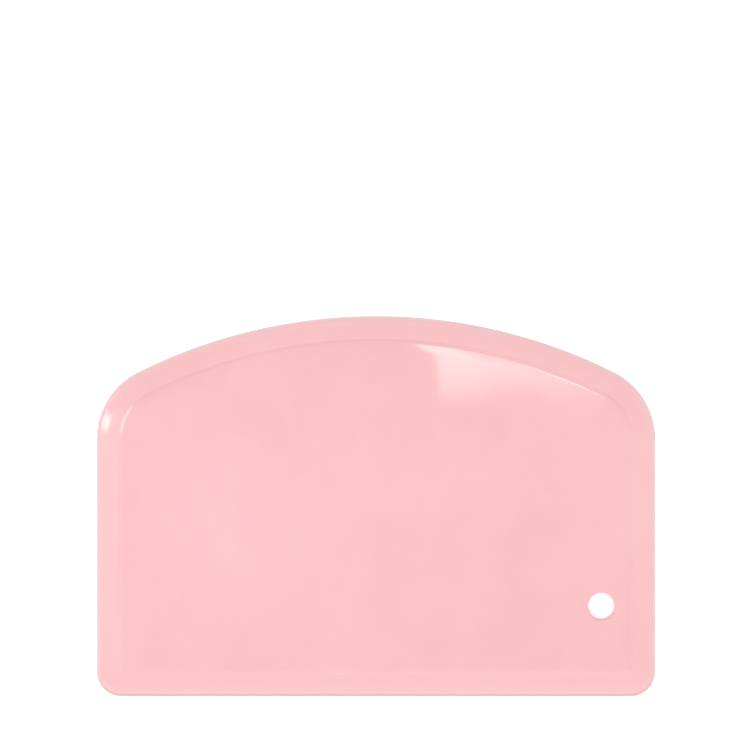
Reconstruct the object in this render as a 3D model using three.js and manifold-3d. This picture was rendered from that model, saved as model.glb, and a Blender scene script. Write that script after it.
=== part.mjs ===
// Dough scraper: one moulded plastic plate with an arched top, a thinned rim all round and a hanging hole.
// Millimetres. The plate lies on its flat back, which is the plane z = 0, centred on the origin.
// +X runs along the straight scraping edge, +Y points to the arched edge and +Z out of the face.

import * as THREE from "three";
import { mergeVertices } from "three/addons/utils/BufferGeometryUtils.js";
import Module from "manifold-3d";

// Outline
const plateWidth = 140;
const plateHeight = 95.3;
const archRadius = 133.5;
const archCornerRadius = 18.6;
const baseCornerRadius = 6.3;
const panelCornerRadius = 1;

// Heights above the flat back
const panelThickness = 2;
const edgeLandHeight = 0.15;
const edgeWallHeight = 0.5;
const edgeThickness = 0.9;
const stepHeight = 0.32;
const crownHeight = 0.06;
const rimCamber = 0.08;

// Insets of the outer edge's leaning wall and of its nose, both within the rim
const edgeWallLean = 0.2;
const noseWidth = 0.8;

// Width of each band of the face, from the outer edge inwards
const rimWidth = 5.7;
const stepWidth = 0.85;
const crownWidth = 2.4;

// Rounding along and between the bands
const backEdgeRadius = 0.06;
const noseRadius = 0.2;
const edgeRadius = 1.2;
const rimRadius = 15;
const stepFootRadius = 0.5;
const shoulderRadius = 1;
const crownRadius = 60;

// Hanging hole
const holeDiameter = 6.6;
const holeLipRadius = 0.3;
const holeFromSide = 13.7;
const holeFromBase = 22.8;

// Flat steps that each rounded stretch is drawn with
const archSteps = 32;
const archCornerSteps = 12;
const baseCornerSteps = 8;
const blendSteps = 3;
const lipSteps = 3;
const holeSteps = 48;

const plastic = new THREE.MeshStandardMaterial({ color: 0xfcc6c9, roughness: 0.28, metalness: 0 });

const quarterTurn = Math.PI / 2;
const archCentreY = plateHeight / 2 - archRadius;
const rimThickness = panelThickness - crownHeight - stepHeight;

function arcPoints(x, y, radius, from, to, steps) {
  return new THREE.EllipseCurve(x, y, radius, radius, from, to).getPoints(steps);
}

// The plate's outline moved inwards by inset, anticlockwise, as the same number of points for any inset.
function outlinePoints(inset) {
  const half = plateWidth / 2 - inset;
  const base = inset - plateHeight / 2;
  const arch = archRadius - inset;
  const archCorner = Math.max(archCornerRadius - inset, panelCornerRadius);
  const baseCorner = Math.max(baseCornerRadius - inset, panelCornerRadius);

  // Each top corner touches the straight side and runs on into the arch from inside it.
  const cornerX = half - archCorner;
  const cornerRise = Math.sqrt((arch - archCorner) ** 2 - cornerX ** 2);
  const cornerY = archCentreY + cornerRise;
  const meet = Math.atan2(cornerRise, cornerX);

  const baseX = half - baseCorner;
  const baseY = base + baseCorner;
  return [
    ...arcPoints(cornerX, cornerY, archCorner, 0, meet, archCornerSteps),
    ...arcPoints(0, archCentreY, arch, meet, Math.PI - meet, archSteps).slice(1, -1),
    ...arcPoints(-cornerX, cornerY, archCorner, Math.PI - meet, Math.PI, archCornerSteps),
    ...arcPoints(-baseX, baseY, baseCorner, Math.PI, Math.PI + quarterTurn, baseCornerSteps),
    ...arcPoints(baseX, baseY, baseCorner, -quarterTurn, 0, baseCornerSteps),
  ];
}

// Points of the arc that leaves one line of a corner at start and joins the other at end.
function arcBetween(corner, start, end, radius) {
  const middle = start.clone().lerp(end, 0.5);
  const inwards = middle.clone().sub(corner).normalize();
  const halfChord = start.distanceTo(end) / 2;
  const depth = Math.sqrt(Math.max(radius ** 2 - halfChord ** 2, 0));
  const centre = middle.addScaledVector(inwards, depth);
  const spoke = start.clone().sub(centre);
  const lastSpoke = end.clone().sub(centre);
  const turn = Math.atan2(spoke.cross(lastSpoke), spoke.dot(lastSpoke));
  return Array.from({ length: blendSteps + 1 }, (_, k) =>
    start.clone().rotateAround(centre, (turn * k) / blendSteps),
  );
}

// The arcs, joined by straight lines, that round off the corners between the first and the last.
// An arc takes up at most half of the shorter line beside it.
function roundedCorners(corners) {
  return corners.slice(1, -1).flatMap(({ at, radius }, i) => {
    const back = corners[i].at.clone().sub(at);
    const ahead = corners[i + 2].at.clone().sub(at);
    const slope = Math.tan(back.angleTo(ahead) / 2);
    const room = Math.min(back.length(), ahead.length()) / 2;
    const reach = Math.min(radius / slope, room);
    const start = at.clone().addScaledVector(back.normalize(), reach);
    const end = at.clone().addScaledVector(ahead.normalize(), reach);
    return arcBetween(at, start, end, reach * slope);
  });
}

// The plate's section, from the flat back round the edge to the flat of the panel.
// x is the inset from the outline and y the height above the back.
function sectionPoints() {
  const rimMiddle = (noseWidth + rimWidth) / 2;
  const rimMiddleHeight = (edgeThickness + rimThickness) / 2 + rimCamber;
  const stepTop = rimWidth + stepWidth;
  const panelStart = stepTop + crownWidth;
  const corner = (inset, height, radius) => ({ at: new THREE.Vector2(inset, height), radius });
  return roundedCorners([
    corner(rimWidth, 0),
    corner(0, 0, backEdgeRadius),
    corner(0, edgeLandHeight, noseRadius),
    corner(edgeWallLean, edgeWallHeight, noseRadius),
    corner(noseWidth, edgeThickness, edgeRadius),
    corner(rimMiddle, rimMiddleHeight, rimRadius),
    corner(rimWidth, rimThickness, stepFootRadius),
    corner(stepTop, rimThickness + stepHeight, shoulderRadius),
    corner(panelStart, panelThickness, crownRadius),
    corner(panelStart + crownWidth, panelThickness),
  ]);
}

// A closed solid from rings of equal length: walls from each ring to the next, and flat ends.
function loftedGeometry(rings) {
  const count = rings[0].length;
  const index = [];
  for (let r = 0; r + 1 < rings.length; r += 1) {
    for (let i = 0; i < count; i += 1) {
      const a = r * count + i;
      const b = r * count + ((i + 1) % count);
      index.push(a, b, b + count, a, b + count, a + count);
    }
  }
  const lastStart = (rings.length - 1) * count;
  for (const [a, b, c] of THREE.ShapeUtils.triangulateShape(rings[0], [])) {
    index.push(a, c, b);
  }
  for (const [a, b, c] of THREE.ShapeUtils.triangulateShape(rings.at(-1), [])) {
    index.push(lastStart + a, lastStart + b, lastStart + c);
  }
  return new THREE.BufferGeometry().setFromPoints(rings.flat()).setIndex(index);
}

function plateGeometry() {
  const ringAt = ({ x: inset, y: height }) =>
    outlinePoints(inset).map((p) => new THREE.Vector3(p.x, p.y, height));
  return loftedGeometry(sectionPoints().map(ringAt));
}

// What the hole takes out of the plate: a pin that flares at both faces, which leaves rounded lips.
function holeGeometry() {
  const flare = holeDiameter / 2 + holeLipRadius;
  const lip = (height, from, to) => arcPoints(flare, height, holeLipRadius, from, to, lipSteps);
  const profile = [
    new THREE.Vector2(0, -panelThickness),
    new THREE.Vector2(flare, -panelThickness),
    ...lip(holeLipRadius, -quarterTurn, -Math.PI),
    ...lip(panelThickness - holeLipRadius, Math.PI, quarterTurn),
    new THREE.Vector2(flare, 2 * panelThickness),
    new THREE.Vector2(0, 2 * panelThickness),
  ];
  return new THREE.LatheGeometry(profile, holeSteps)
    .rotateX(quarterTurn)
    .translate(plateWidth / 2 - holeFromSide, holeFromBase - plateHeight / 2, 0);
}

const wasm = await Module();
wasm.setup();

function solidFrom(geometry) {
  const bare = geometry.clone();
  bare.deleteAttribute("normal");
  bare.deleteAttribute("uv");
  const merged = mergeVertices(bare);
  return new wasm.Manifold(
    new wasm.Mesh({
      numProp: 3,
      vertProperties: merged.getAttribute("position").array,
      triVerts: new Uint32Array(merged.index.array),
    }),
  );
}

function geometryFrom(solid) {
  const { vertProperties, triVerts } = solid.getMesh();
  const geometry = new THREE.BufferGeometry();
  geometry.setAttribute("position", new THREE.BufferAttribute(vertProperties, 3));
  geometry.setIndex(new THREE.BufferAttribute(triVerts, 1));
  geometry.computeVertexNormals();
  return geometry;
}

const scraperPlate = new THREE.Mesh(
  geometryFrom(solidFrom(plateGeometry()).subtract(solidFrom(holeGeometry()))),
  plastic,
);
scraperPlate.name = "scraper_plate";

const doughScraper = new THREE.Group();
doughScraper.add(scraperPlate);

export default doughScraper;
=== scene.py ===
# Looks of the dough scraper: one glossy moulded plate on a white studio floor, seen from straight above.
import math

import bpy
import numpy as np
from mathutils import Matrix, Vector, geometry, noise


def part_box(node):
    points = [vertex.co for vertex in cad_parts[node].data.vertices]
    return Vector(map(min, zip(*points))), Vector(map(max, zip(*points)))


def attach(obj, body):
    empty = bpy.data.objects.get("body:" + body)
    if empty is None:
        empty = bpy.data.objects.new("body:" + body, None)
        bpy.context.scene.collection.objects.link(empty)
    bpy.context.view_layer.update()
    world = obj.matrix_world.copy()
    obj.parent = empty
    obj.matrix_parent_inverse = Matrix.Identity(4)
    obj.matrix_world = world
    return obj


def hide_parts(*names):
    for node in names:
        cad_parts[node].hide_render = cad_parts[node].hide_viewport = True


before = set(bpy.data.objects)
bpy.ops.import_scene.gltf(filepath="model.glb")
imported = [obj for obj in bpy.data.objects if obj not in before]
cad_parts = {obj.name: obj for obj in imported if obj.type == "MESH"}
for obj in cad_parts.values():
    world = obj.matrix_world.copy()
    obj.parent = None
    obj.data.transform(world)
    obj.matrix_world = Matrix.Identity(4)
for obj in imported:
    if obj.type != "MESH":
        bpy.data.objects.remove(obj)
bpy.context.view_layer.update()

MM = 0.001

# The plate's overall size comes from the frame. Its other sizes are those of the CAD part, apart from the
# hole's lips, which are rounder here.
plate_low, plate_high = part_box("scraper_plate")
PLATE_WIDTH = plate_high.x - plate_low.x
PLATE_HEIGHT = plate_high.y - plate_low.y
PANEL_THICKNESS = plate_high.z - plate_low.z

# Outline
ARCH_RADIUS = 133.5 * MM
ARCH_CORNER_RADIUS = 18.6 * MM
BASE_CORNER_RADIUS = 6.3 * MM
PANEL_CORNER_RADIUS = 1 * MM

# Heights above the flat back, and of the step, the crown and the rim's camber
EDGE_LAND_HEIGHT = 0.15 * MM
EDGE_WALL_HEIGHT = 0.5 * MM
EDGE_THICKNESS = 0.9 * MM
STEP_HEIGHT = 0.32 * MM
CROWN_HEIGHT = 0.06 * MM
RIM_CAMBER = 0.08 * MM

# Insets of the outer edge's leaning wall and of its nose, both within the rim
EDGE_WALL_LEAN = 0.2 * MM
NOSE_WIDTH = 0.8 * MM

# Width of each band of the face, from the outer edge inwards
RIM_WIDTH = 5.7 * MM
STEP_WIDTH = 0.85 * MM
CROWN_WIDTH = 2.4 * MM

# Rounding along and between the bands
BACK_EDGE_RADIUS = 0.06 * MM
NOSE_RADIUS = 0.2 * MM
EDGE_RADIUS = 1.2 * MM
RIM_RADIUS = 15 * MM
STEP_FOOT_RADIUS = 0.5 * MM
SHOULDER_RADIUS = 1 * MM

# Hanging hole
HOLE_DIAMETER = 6.6 * MM
HOLE_LIP_RADIUS = 0.5 * MM
HOLE_FROM_SIDE = 13.7 * MM
HOLE_FROM_BASE = 22.8 * MM

# How finely the surface is drawn
ARCH_STEPS = 96
ARCH_CORNER_STEPS = 28
BASE_CORNER_STEPS = 16
SIDE_STEPS = 26
BASE_STEPS = 56
BLEND_STEPS = 8
CROWN_STEPS = 12
HOLE_STEPS = 96
LIP_STEPS = 6

# Points that fill the flats: how far apart they are, and how far they stay from the outline and the hole
PANEL_SPACING = 2.4 * MM
PANEL_CLEARANCE = 0.6 * PANEL_SPACING

# Triangulation of the flats: only what lies inside their outline, and points this close count as one
TRIANGLES_INSIDE = 1
MERGE_DISTANCE = 1e-9

# Slight unevenness of the moulded face, and the slice of the noise that it follows
WARP_DEPTH = 0.03 * MM
WARP_LENGTH = 34 * MM
WARP_SLICE = 0.37

# How much the shading follows large faces rather than small ones, where 50 treats them alike
EVEN_SHADING_WEIGHT = 100

# How far from the outer edge painted light reaches: a paler tone of the plastic that stands for light seeping
# in through the thin edge.
PAINTED_LIGHT_REACH = 0.75 * MM

# Along the base the painted light is a highlight band a little inside the edge, fainter than elsewhere.
BASE_PAINTED_HIGHLIGHT = 0.38
BASE_HIGHLIGHT_INSET = 0.98 * MM
BASE_HIGHLIGHT_REACH = 0.25 * MM

# The base's own edge, the one that scrapes, has painted shade: a darker, duller tone that stands for the thin
# shadow where the plate meets the floor.
BASE_PAINTED_SHADE = 0.95
BASE_PAINTED_SHADE_REACH = 0.62 * MM

# The plastic: its cloudy pigment, the painted light and shade at its edges, its gloss and its fine moulded
# surface
PINK = (0.946, 0.554, 0.574, 1)
PINK_DEEP = (0.896, 0.469, 0.485, 1)
PINK_PAINTED_LIGHT = (0.89, 0.66, 0.67, 1)
PINK_PAINTED_SHADE = (0.7, 0.5, 0.515, 1)
CLOUDS = {"Scale": 38, "Detail": 4, "Roughness": 0.7}
HAZE = {"Scale": 130, "Detail": 4, "Roughness": 0.6}
PEEL = {"Scale": 420, "Detail": 2, "Roughness": 0.5}
GLOSS_ROUGHNESS = (0.03, 0.05)
PLASTIC_IOR = 1.49
PEEL_STRENGTH = 0.02
PEEL_DEPTH = 0.1 * MM

# View: the picture is square, and its middle lies above this point of the plate
PICTURE_SIDE = 188.04 * MM
PICTURE_MIDDLE = (-0.25 * MM, 32.9 * MM)
LENS = 85
SENSOR = 36

# Floor: its paint, the white added to it where it is seen, its side in metres and its gap below the plate
FLOOR_PAINT = (0.9, 0.9, 0.9, 1)
FLOOR_LIFT = 0.35
FLOOR_SIDE = 8
FLOOR_GAP = 0.05 * MM

WHITE = (1, 1, 1, 1)
WARM_WHITE = (1, 0.96, 0.83, 1)

# Levels of the studio's soft light, each at the Z of the direction that it comes from: on the near side,
# at the two ends and on the far side. One goes over into the next along the Y of the bearing.
NEAR_LEVELS = [
    (0.0, 0.0), (0.3, 0.2), (0.5, 1.27), (0.58, 1.51), (0.68, 1.51), (0.78, 1.6), (0.86, 1.2), (0.92, 1.1),
    (0.96, 0.38), (1.0, 0.25),
]
END_LEVELS = [
    (0.0, 0.72), (0.3, 1.18), (0.5, 1.12), (0.6, 0.84), (0.7, 1.05), (0.8, 0.65), (0.88, 1.07), (0.93, 0.76),
    (0.965, 0.26), (1.0, 0.25),
]
FAR_LEVELS = [
    (0.0, 0.08), (0.3, 0.56), (0.5, 0.89), (0.6, 0.93), (0.67, 0.62), (0.8, 0.34), (0.86, 0.22), (0.91, 0.59),
    (0.94, 0.91), (0.965, 0.79), (0.98, 0.45), (1.0, 0.25),
]
NEAR_TO_END = (-0.8, -0.4)
END_TO_FAR = (0.35, 0.7)

# A ramp's colours end at 1, so levels are divided by this on the way in and multiplied by it on the way out.
LEVEL_SCALE = 3

# Level of the white backdrop low down all round, and the Z of the directions over which it ends
BACKDROP_LEVEL = 1.0
BACKDROP_EDGE = (0.2, 0.3)

# Ramps of a light's level from one side to the other
EVEN = [(0, 1), (1, 1)]
SOFT = [(0, 0), (0.5, 1), (1, 0)]

# The long glare at the panel's upper right comes from three lights. Lights that overlap lie at slightly
# different heights, because at the same height one hides another.
GLARE_LIGHTS = [
    dict(
        name="glare_light", place=(0.0868, 0.0827, 0.9), size=(0.09, 0.1383), radiance=7.3,
        turn=math.radians(6), tint=WARM_WHITE,
        across=[
            (0, 0.8), (0.06, 1), (0.3, 1), (0.42, 0.85), (0.51, 0.69), (0.62, 0.5), (0.79, 0.33),
            (0.91, 0.15), (1, 0),
        ],
        along=[
            (0, 0), (0.033, 0.2), (0.065, 0.4), (0.131, 0.55), (0.196, 0.69), (0.262, 0.82), (0.4, 0.9),
            (0.6, 0.95), (1, 0.95),
        ],
    ),
    dict(
        name="glare_tail", place=(0.1523, 0.069, 0.91), size=(0.125, 0.13), radiance=4.7,
        turn=math.radians(-25),
        across=[
            (0, 0), (0.16, 0.6), (0.28, 0.88), (0.4, 0.92), (0.52, 0.9), (0.64, 0.66), (0.77, 0.3),
            (0.9, 0.1), (1, 0),
        ],
        along=[(0, 0), (0.046, 0.12), (0.108, 0.38), (0.208, 0.52), (0.546, 0.7), (0.908, 1), (1, 1)],
    ),
    dict(
        name="glare_line", place=(0.169, 0.105, 0.92), size=(0.12, 0.032), radiance=8.5,
        turn=math.radians(-20),
        across=[
            (0, 0), (0.19, 0.2), (0.31, 0.38), (0.43, 0.5), (0.55, 0.6), (0.68, 0.75), (0.8, 1), (0.86, 0.9),
            (0.93, 0.2), (1, 0),
        ],
        along=[(0, 0), (0.35, 0.4), (0.7, 1), (1, 1)],
    ),
]

# Faint sheen over the panel
SHEEN_LIGHTS = [
    dict(
        name="overhead_glow", place=(-0.05, -0.09, 1.2), size=(1.6, 0.72), radiance=1.0, turn=0,
        across=[(0, 0.3), (0.2, 1), (0.8, 0.65), (1, 0.2)],
        along=[(0, 0.1), (0.3, 0.62), (0.44, 0.97), (0.52, 1), (0.64, 0.7), (0.76, 0.15), (1, 0)],
    ),
    dict(
        name="panel_glow", place=(-0.14, -0.09, 1.21), size=(0.24, 0.22), radiance=0.5, turn=0,
        across=SOFT, along=SOFT,
    ),
]

# The bright spot at the upper left corner, and light on the rim from the left, the far right and the right
RIM_LIGHTS = [
    dict(
        name="corner_light", place=(-0.995, 0.147, 1.8), size=(0.52, 0.36), radiance=10.1,
        turn=0, tint=WARM_WHITE,
        across=[(0, 0.3), (0.25, 0.6), (0.42, 1), (0.48, 1), (0.54, 0.28), (1, 0.15)], along=SOFT,
    ),
    dict(
        name="left_panel", place=(-0.83, -0.12, 1.8), size=(0.58, 0.668), radiance=0.9, turn=0,
        across=EVEN, along=[(0, 0.1), (1, 1)],
    ),
    dict(
        name="left_fill", place=(-2.202, 0.27, 2.019), size=(2.67, 0.4), radiance=4.5,
        across=[(0, 1), (0.49, 1), (0.58, 0.145), (1, 0.145)], along=EVEN,
    ),
    dict(
        name="far_right_fill", place=(0.598, 1.226, 1.463), size=(0.8, 0.45), radiance=1.02,
        across=[(0, 0), (0.2, 1), (0.8, 1), (1, 0)], along=SOFT,
    ),
    dict(
        name="right_fill", place=(2.23, -0.16, 2), size=(2.67, 0.6), radiance=0.72,
        across=SOFT, along=EVEN,
    ),
]

# A Mix node has sockets for each kind of data: here the first of its two inputs, and its output.
MIX_SOCKETS = {"FLOAT": (2, 0), "RGBA": (6, 2)}

QUARTER_TURN = math.pi / 2
arch_centre_y = PLATE_HEIGHT / 2 - ARCH_RADIUS
rim_thickness = PANEL_THICKNESS - CROWN_HEIGHT - STEP_HEIGHT
hole_centre = Vector((PLATE_WIDTH / 2 - HOLE_FROM_SIDE, HOLE_FROM_BASE - PLATE_HEIGHT / 2))


def arc(x, y, radius, start, end, steps):
    """Points of an arc, with both its ends."""
    angles = [start + (end - start) * k / steps for k in range(steps + 1)]
    return [Vector((x + radius * math.cos(a), y + radius * math.sin(a))) for a in angles]


def between(start, end, steps):
    """Points of a straight line, without its ends."""
    return [start.lerp(end, k / steps) for k in range(1, steps)]


def outline(inset):
    """The plate's outline moved inwards, anticlockwise, as the same number of points for any inset."""
    half = PLATE_WIDTH / 2 - inset
    arch = ARCH_RADIUS - inset
    arch_corner = max(ARCH_CORNER_RADIUS - inset, PANEL_CORNER_RADIUS)
    base_corner = max(BASE_CORNER_RADIUS - inset, PANEL_CORNER_RADIUS)

    # Each top corner touches the straight side and runs on into the arch from inside it.
    x = half - arch_corner
    rise = math.sqrt((arch - arch_corner) ** 2 - x**2)
    y = arch_centre_y + rise
    meet = math.atan2(rise, x)

    base_x = half - base_corner
    base_y = inset - PLATE_HEIGHT / 2 + base_corner
    right_top = arc(x, y, arch_corner, 0, meet, ARCH_CORNER_STEPS)
    top = arc(0, arch_centre_y, arch, meet, math.pi - meet, ARCH_STEPS)[1:-1]
    left_top = arc(-x, y, arch_corner, math.pi - meet, math.pi, ARCH_CORNER_STEPS)
    left_base = arc(-base_x, base_y, base_corner, math.pi, math.pi + QUARTER_TURN, BASE_CORNER_STEPS)
    right_base = arc(base_x, base_y, base_corner, -QUARTER_TURN, 0, BASE_CORNER_STEPS)
    return [
        *right_top, *top, *left_top,
        *between(left_top[-1], left_base[0], SIDE_STEPS), *left_base,
        *between(left_base[-1], right_base[0], BASE_STEPS), *right_base,
        *between(right_base[-1], right_top[0], SIDE_STEPS),
    ]


def blend_arc(corner, start, end, radius):
    """Points of the arc that leaves one line of a corner at start and joins the other at end."""
    middle = (start + end) / 2
    depth = math.sqrt(max(radius**2 - (end - start).length_squared / 4, 0))
    centre = middle + (middle - corner).normalized() * depth
    first = start - centre
    last = end - centre
    turn = math.atan2(first.x * last.y - first.y * last.x, first.dot(last))
    points = []
    for k in range(BLEND_STEPS + 1):
        c = math.cos(turn * k / BLEND_STEPS)
        s = math.sin(turn * k / BLEND_STEPS)
        points.append(centre + Vector((c * first.x - s * first.y, s * first.x + c * first.y)))
    return points


def rounded(corners):
    """The arcs that round off each (point, radius) between the first and the last.

    An arc takes up at most half of the shorter line beside it.
    """
    points = []
    for (before, _), (at, radius), (after, _) in zip(corners, corners[1:], corners[2:]):
        back = before - at
        ahead = after - at
        slope = math.tan(back.angle(ahead) / 2)
        reach = min(radius / slope, back.length / 2, ahead.length / 2)
        start = at + back.normalized() * reach
        end = at + ahead.normalized() * reach
        points += blend_arc(at, start, end, reach * slope)
    return points


def section():
    """(inset, height) of the plate from its flat back round the edge to the flat of the panel."""
    step_top = RIM_WIDTH + STEP_WIDTH
    crown_foot = PANEL_THICKNESS - CROWN_HEIGHT
    rim_middle = Vector((NOSE_WIDTH + RIM_WIDTH, EDGE_THICKNESS + rim_thickness + 2 * RIM_CAMBER)) / 2

    # The last corner lies on the line along which the crown leaves the shoulder.
    face = rounded([
        (Vector((RIM_WIDTH, 0)), 0),
        (Vector((0, 0)), BACK_EDGE_RADIUS),
        (Vector((0, EDGE_LAND_HEIGHT)), NOSE_RADIUS),
        (Vector((EDGE_WALL_LEAN, EDGE_WALL_HEIGHT)), NOSE_RADIUS),
        (Vector((NOSE_WIDTH, EDGE_THICKNESS)), EDGE_RADIUS),
        (rim_middle, RIM_RADIUS),
        (Vector((RIM_WIDTH, rim_thickness)), STEP_FOOT_RADIUS),
        (Vector((step_top, crown_foot)), SHOULDER_RADIUS),
        (Vector((step_top + CROWN_WIDTH / 2, PANEL_THICKNESS)), 0),
    ])

    # The crown levels out from the shoulder to the flat of the panel.
    for k in range(1, CROWN_STEPS + 1):
        share = k / CROWN_STEPS
        height = PANEL_THICKNESS - CROWN_HEIGHT * (1 - share) ** 2
        face.append(Vector((step_top + CROWN_WIDTH * share, height)))

    # Below each ring of the face inside the nose, the back has a ring too.
    back = [(p.x, 0) for p in reversed(face) if p.x > NOSE_WIDTH]
    return back + [(p.x, p.y) for p in face]


def warp(x, y):
    """How far the moulded face lies below its true plane, from none to WARP_DEPTH."""
    wave = noise.noise(Vector((x / WARP_LENGTH, y / WARP_LENGTH, WARP_SLICE)))
    return WARP_DEPTH * (0.5 - 0.5 * max(-1, min(1, wave)))


def inside(points, ring):
    """Which points lie inside a closed ring of points, as an array of booleans."""
    hit = np.zeros(len(points), bool)
    x, y = points[:, 0], points[:, 1]
    for a, b in zip(ring, ring[1:] + ring[:1]):
        if a.y == b.y:
            continue
        crosses = (a.y > y) != (b.y > y)
        hit ^= crosses & (x < a.x + (y - a.y) * (b.x - a.x) / (b.y - a.y))
    return hit


def filling(ring, hole):
    """Points spread over the flat between a ring and a hole in it, clear of both."""
    row_height = PANEL_SPACING * math.sqrt(3) / 2
    xs = np.arange(-PLATE_WIDTH / 2, PLATE_WIDTH / 2, PANEL_SPACING)
    rows = np.arange(-PLATE_HEIGHT / 2, PLATE_HEIGHT / 2, row_height)
    grid = np.concatenate([
        np.stack([xs + (k % 2) * PANEL_SPACING / 2, np.full(len(xs), y)], 1) for k, y in enumerate(rows)
    ])
    grid = grid[inside(grid, ring)]
    walls = np.array([tuple(p) for p in ring + hole])
    clear = np.array([np.hypot(*(walls - p).T).min() > PANEL_CLEARANCE for p in grid])
    outside_hole = np.hypot(*(grid - np.array(hole_centre)).T) > HOLE_DIAMETER / 2
    return [Vector(p) for p in grid[clear & outside_hole]]


def flat_faces(ring, hole):
    """Points added between a ring and a hole, and triangles over ring, hole and added points in order."""
    extra = filling(ring, hole)
    points = ring + hole + extra
    n = len(ring)
    m = len(hole)
    edges = [(i, (i + 1) % n) for i in range(n)] + [(n + i, n + (i + 1) % m) for i in range(m)]
    _, _, faces, origin, _, _ = geometry.delaunay_2d_cdt(points, edges, [], TRIANGLES_INSIDE, MERGE_DISTANCE)
    faces = [[origin[v][0] for v in f] for f in faces]

    # Triangles with all their points on the hole's ring fill the hole, so they are left out.
    return extra, [f for f in faces if not all(n <= v < n + m for v in f)]


def hole_section():
    """(radius, height) down the hole: upper lip, wall and lower lip."""
    flare = HOLE_DIAMETER / 2 + HOLE_LIP_RADIUS
    upper_y = PANEL_THICKNESS - HOLE_LIP_RADIUS
    upper = arc(flare, upper_y, HOLE_LIP_RADIUS, QUARTER_TURN, math.pi, LIP_STEPS)
    lower = arc(flare, HOLE_LIP_RADIUS, HOLE_LIP_RADIUS, math.pi, math.pi + QUARTER_TURN, LIP_STEPS)
    return [(p.x, p.y) for p in upper + lower]


def bell(distance, reach):
    """1 where there is no distance, falling away to almost none at twice the reach."""
    return math.exp(-((distance / reach) ** 2))


def painted_light_and_shade_at(point, inset):
    """How much painted light brightens the plastic at a point of the outline moved inwards, or, where it is
    below 0, how much painted shade darkens it.
    """
    corner_y = BASE_CORNER_RADIUS - PLATE_HEIGHT / 2
    corner_drop = max(BASE_CORNER_RADIUS - inset, PANEL_CORNER_RADIUS)
    on_base = max(0, min(1, (corner_y - point.y) / corner_drop))
    # Painted light: a paler tone near the outer edge that stands for light seeping through the thin plastic.
    at_edge = bell(inset, PAINTED_LIGHT_REACH)
    # Along the base, a painted highlight band a little inside the edge.
    at_base = BASE_PAINTED_HIGHLIGHT * bell(inset - BASE_HIGHLIGHT_INSET, BASE_HIGHLIGHT_REACH)
    # Painted shade: a darker tone on the base's very edge that stands for the thin shadow where the plate
    # meets the floor.
    at_base -= BASE_PAINTED_SHADE * bell(inset, BASE_PAINTED_SHADE_REACH)
    return at_edge + (at_base - at_edge) * on_base


def make_plate():
    """The moulded plate as one closed mesh, with the painted light and shade of its plastic kept at each
    point.
    """
    points, painted_light_and_shade, faces = [], [], []

    def add(ring, height, light_and_shade=None):
        start = len(points)
        points.extend(Vector((p.x, p.y, height)) for p in ring)
        painted_light_and_shade.extend(light_and_shade or [0.0] * len(ring))
        return list(range(start, len(points)))

    def wall(lower, upper):
        for i in range(len(lower)):
            j = (i + 1) % len(lower)
            faces.append((lower[i], lower[j], upper[j], upper[i]))

    rings = []
    for inset, height in section():
        ring = outline(inset)
        rings.append(add(ring, height, [painted_light_and_shade_at(p, inset) for p in ring]))
    for lower, upper in zip(rings, rings[1:]):
        wall(lower, upper)

    holes = []
    for radius, height in hole_section():
        ring = arc(*hole_centre, radius, 0, 2 * math.pi, HOLE_STEPS)[:-1]
        holes.append(add(ring, height))
    for upper, lower in zip(holes, holes[1:]):
        wall(upper, lower)

    for ring, hole, turned in ((rings[-1], holes[0], False), (rings[0], holes[-1], True)):
        height = points[ring[0]].z
        extra, flats = flat_faces([points[v].xy for v in ring], [points[v].xy for v in hole])
        index = ring + hole + add(extra, height)
        for f in flats:
            a, b, c = (index[v] for v in f)
            faces.append((a, c, b) if turned else (a, b, c))

    for p in points:
        p.z -= warp(p.x, p.y) * p.z / PANEL_THICKNESS

    mesh = bpy.data.meshes.new("moulded_plate")
    mesh.from_pydata(points, [], faces)
    mesh.shade_smooth()
    # The painted light and shade at the edges go to the material as a point attribute.
    mesh.attributes.new("painted_light_and_shade", "FLOAT", "POINT").data.foreach_set("value", painted_light_and_shade)
    mesh.update()
    plate = bpy.data.objects.new("moulded_plate", mesh)
    bpy.context.scene.collection.objects.link(plate)

    # Shading follows the wide flats, so that a narrow rounding beside one doesn't tilt it.
    plate.modifiers.new("even_shading", "WEIGHTED_NORMAL").weight = EVEN_SHADING_WEIGHT
    return plate


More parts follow.
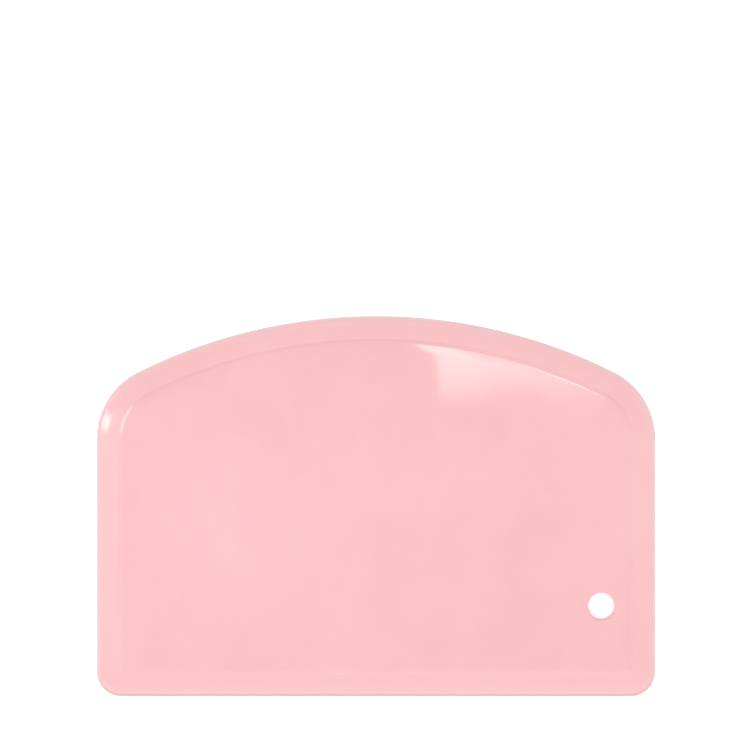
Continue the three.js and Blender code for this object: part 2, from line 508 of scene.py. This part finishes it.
class Nodes:
    """A node tree that is emptied and then written node by node."""

    def __init__(self, owner):
        owner.use_nodes = True
        self.tree = owner.node_tree
        self.tree.nodes.clear()

    def add(self, kind, inputs=None, **settings):
        """A node with its settings, and its inputs by name or number: a value or another node's output."""
        node = self.tree.nodes.new(kind)
        for name, value in settings.items():
            setattr(node, name, value)
        for name, value in (inputs or {}).items():
            socket = node.inputs[name]
            if isinstance(value, bpy.types.NodeSocket):
                self.tree.links.new(value, socket)
            else:
                socket.default_value = value
        return node

    def maths(self, operation, a, b, **settings):
        """The result of an operation on two values."""
        return self.add("ShaderNodeMath", {0: a, 1: b}, operation=operation, **settings).outputs[0]

    def mix(self, kind, factor, a, b):
        """A mix of two numbers, kind FLOAT, or of two colours, kind RGBA."""
        first, output = MIX_SOCKETS[kind]
        node = self.add("ShaderNodeMix", {"Factor": factor, first: a, first + 1: b}, data_type=kind)
        return node.outputs[output]

    def texture(self, place, settings):
        """The level of a noise texture."""
        return self.add("ShaderNodeTexNoise", {"Vector": place, **settings}).outputs["Fac"]

    def fade(self, value, span, start=0, end=1):
        """A smooth change from start to end while a value goes through a span."""
        inputs = {"Value": value, "From Min": span[0], "From Max": span[1], "To Min": start, "To Max": end}
        return self.add("ShaderNodeMapRange", inputs, interpolation_type="SMOOTHSTEP").outputs["Result"]

    def ramp(self, factor, stops):
        """A smooth colour ramp over (place, grey) stops."""
        node = self.add("ShaderNodeValToRGB", {"Fac": factor})
        node.color_ramp.interpolation = "EASE"
        elements = node.color_ramp.elements
        while len(elements) < len(stops):
            elements.new(0.5)
        for element, (place, grey) in zip(elements, stops):
            element.position = place
            element.color = (grey, grey, grey, 1)
        return node.outputs["Color"]

    def level_ramp(self, factor, stops):
        """A ramp over (place, level) stops, where a level may be above 1."""
        grey = self.ramp(factor, [(place, level / LEVEL_SCALE) for place, level in stops])
        return self.maths("MULTIPLY", grey, LEVEL_SCALE)

    def seen_rays(self):
        """1 for a camera, glossy or transmission ray, and 0 for the rays that only light the scene."""
        rays = self.add("ShaderNodeLightPath").outputs
        seen = self.maths("MAXIMUM", rays["Is Camera Ray"], rays["Is Glossy Ray"])
        return self.maths("MAXIMUM", seen, rays["Is Transmission Ray"])


def pink_plastic():
    """Glossy pale pink polypropylene: cloudy pigment, painted light and shade at its edges, a fine moulded
    surface.
    """
    material = bpy.data.materials.new("pink_plastic")
    nodes = Nodes(material)
    place = nodes.add("ShaderNodeTexCoord").outputs["Object"]
    colour = nodes.mix("RGBA", nodes.texture(place, CLOUDS), PINK, PINK_DEEP)
    light_and_shade = nodes.add("ShaderNodeAttribute", attribute_name="painted_light_and_shade").outputs["Fac"]
    # Painted light at the thin edges and a painted highlight along the base, as a paler pink.
    colour = nodes.mix("RGBA", light_and_shade, colour, PINK_PAINTED_LIGHT)
    # Painted shade on the base's edge, as a duller, darker pink.
    painted_shade = nodes.maths("MULTIPLY", light_and_shade, -1, use_clamp=True)
    colour = nodes.mix("RGBA", painted_shade, colour, PINK_PAINTED_SHADE)
    roughness = nodes.add("ShaderNodeMapRange", {
        "Value": nodes.texture(place, HAZE),
        "To Min": GLOSS_ROUGHNESS[0],
        "To Max": GLOSS_ROUGHNESS[1],
    })
    bump = nodes.add("ShaderNodeBump", {
        "Height": nodes.texture(place, PEEL),
        "Strength": PEEL_STRENGTH,
        "Distance": PEEL_DEPTH,
    })
    shader = nodes.add("ShaderNodeBsdfPrincipled", {
        "Base Color": colour,
        "Roughness": roughness.outputs["Result"],
        "IOR": PLASTIC_IOR,
        "Normal": bump.outputs["Normal"],
    })
    nodes.add("ShaderNodeOutputMaterial", {"Surface": shader.outputs["BSDF"]})
    return material


def white_floor():
    """A white floor that shows as white to the camera and in reflections, and takes the plate's shadow."""
    material = bpy.data.materials.new("white_floor")
    nodes = Nodes(material)
    paint = nodes.add("ShaderNodeBsdfDiffuse", {"Color": FLOOR_PAINT})
    lift = nodes.maths("MULTIPLY", nodes.seen_rays(), FLOOR_LIFT)
    glow = nodes.add("ShaderNodeEmission", {"Strength": lift})
    both = nodes.add("ShaderNodeAddShader", {0: paint.outputs[0], 1: glow.outputs[0]})
    nodes.add("ShaderNodeOutputMaterial", {"Surface": both.outputs[0]})
    return material


def make_floor():
    """A wide square floor just below the plate."""
    half = FLOOR_SIDE / 2
    mesh = bpy.data.meshes.new("studio_floor")
    corners = [(-half, -half), (half, -half), (half, half), (-half, half)]
    mesh.from_pydata([(x, y, -FLOOR_GAP) for x, y in corners], [], [(0, 1, 2, 3)])
    floor = bpy.data.objects.new("studio_floor", mesh)
    bpy.context.scene.collection.objects.link(floor)
    floor.data.materials.append(white_floor())


def make_camera():
    """A camera that looks straight down at the middle of the picture."""
    data = bpy.data.cameras.new("camera")
    data.lens = LENS
    data.sensor_width = SENSOR
    camera = bpy.data.objects.new("camera", data)
    camera.location = (*PICTURE_MIDDLE, PICTURE_SIDE * LENS / SENSOR)
    bpy.context.scene.collection.objects.link(camera)
    bpy.context.scene.camera = camera


def make_sky():
    """Soft light from all round, and a white backdrop low down that only the camera and reflections see."""
    world = bpy.data.worlds.new("studio")
    bpy.context.scene.world = world
    nodes = Nodes(world)
    place = nodes.add("ShaderNodeTexCoord").outputs["Generated"]
    axes = nodes.add("ShaderNodeSeparateXYZ", {"Vector": place}).outputs
    flat = nodes.add("ShaderNodeCombineXYZ", {"X": axes["X"], "Y": axes["Y"]})
    bearing = nodes.add("ShaderNodeVectorMath", {0: flat.outputs[0]}, operation="NORMALIZE")
    bearing_y = nodes.add("ShaderNodeSeparateXYZ", {"Vector": bearing.outputs[0]}).outputs["Y"]

    level = nodes.level_ramp(axes["Z"], NEAR_LEVELS)
    for span, levels in ((NEAR_TO_END, END_LEVELS), (END_TO_FAR, FAR_LEVELS)):
        level = nodes.mix("FLOAT", nodes.fade(bearing_y, span), level, nodes.level_ramp(axes["Z"], levels))

    low = nodes.fade(axes["Z"], BACKDROP_EDGE, 1, 0)
    backdrop = nodes.maths("MULTIPLY", nodes.seen_rays(), low)
    level = nodes.mix("FLOAT", backdrop, level, BACKDROP_LEVEL)
    sky = nodes.add("ShaderNodeBackground", {"Color": WHITE, "Strength": level})
    nodes.add("ShaderNodeOutputWorld", {"Surface": sky.outputs[0]})


def make_panel_light(name, place, size, radiance, across, along, turn=None, tint=WHITE):
    """A rectangular light with ramps of its level across and along it.

    It faces straight down, turned about the vertical, or is aimed at the plate if no turn is given.
    """
    data = bpy.data.lights.new(name, "AREA")
    data.shape = "RECTANGLE"
    data.size, data.size_y = size
    data.energy = radiance * math.pi * size[0] * size[1]
    nodes = Nodes(data)
    uv = nodes.add("ShaderNodeNewGeometry").outputs["Parametric"]
    axes = nodes.add("ShaderNodeSeparateXYZ", {"Vector": uv}).outputs
    level = nodes.maths("MULTIPLY", nodes.ramp(axes["X"], across), nodes.ramp(axes["Y"], along))
    glow = nodes.add("ShaderNodeEmission", {"Color": tint, "Strength": level})
    nodes.add("ShaderNodeOutputLight", {"Surface": glow.outputs[0]})
    lamp = bpy.data.objects.new(name, data)
    lamp.location = place
    if turn is None:
        lamp.rotation_euler = (-Vector(place)).to_track_quat("-Z", "Y").to_euler()
    else:
        lamp.rotation_euler = (0, 0, turn)
    lamp.visible_camera = False
    bpy.context.scene.collection.objects.link(lamp)


bpy.context.scene.view_settings.view_transform = "Standard"
make_camera()
plate = make_plate()
plate.data.materials.append(pink_plastic())
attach(plate, "root")
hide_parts("scraper_plate")
make_floor()
make_sky()
for light in GLARE_LIGHTS + SHEEN_LIGHTS + RIM_LIGHTS:
    make_panel_light(**light)
